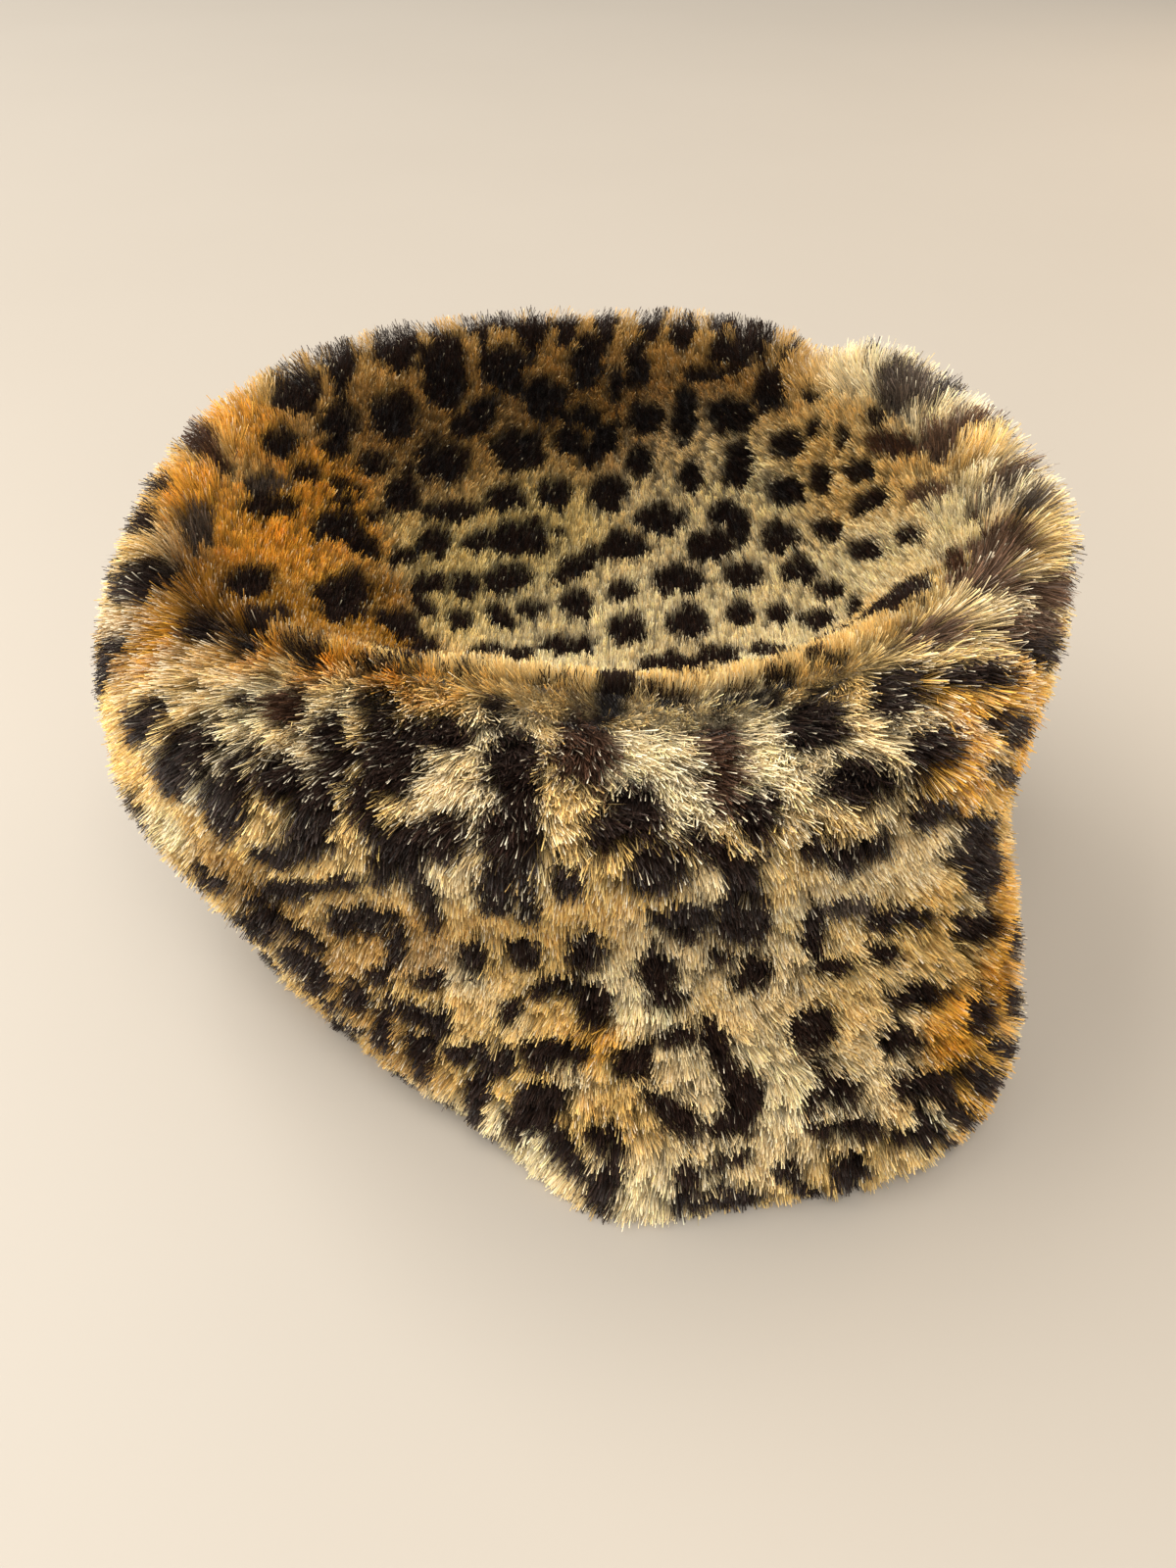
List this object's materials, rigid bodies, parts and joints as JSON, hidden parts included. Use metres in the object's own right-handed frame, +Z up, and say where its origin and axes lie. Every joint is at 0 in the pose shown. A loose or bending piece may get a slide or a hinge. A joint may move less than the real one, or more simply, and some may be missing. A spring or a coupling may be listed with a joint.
{
  "type": "pillbox hat",
  "caption": "Soft brimless pillbox hat of spotted pile fabric, standing on its hem, with a sunken oval tip and a sewn side band.",
  "frame": {"origin": "on the table, under the middle of the hat's own box", "axes": "+Z up out of the crown, -Y towards the side on which the band's own seam shows, +X to the right as seen from that side"},
  "size_m": [0.244, 0.2404, 0.1283],
  "materials": {
    "tip_fur": "short printed pile, olive tan with small dark spots",
    "band_fur": "long printed pile, golden tan with dark rosettes and pale frosted tips"
  },
  "bodies": {
    "root": {"crown_tip": "tip_fur", "side_band": "band_fur"}
  },
  "joints": []
}
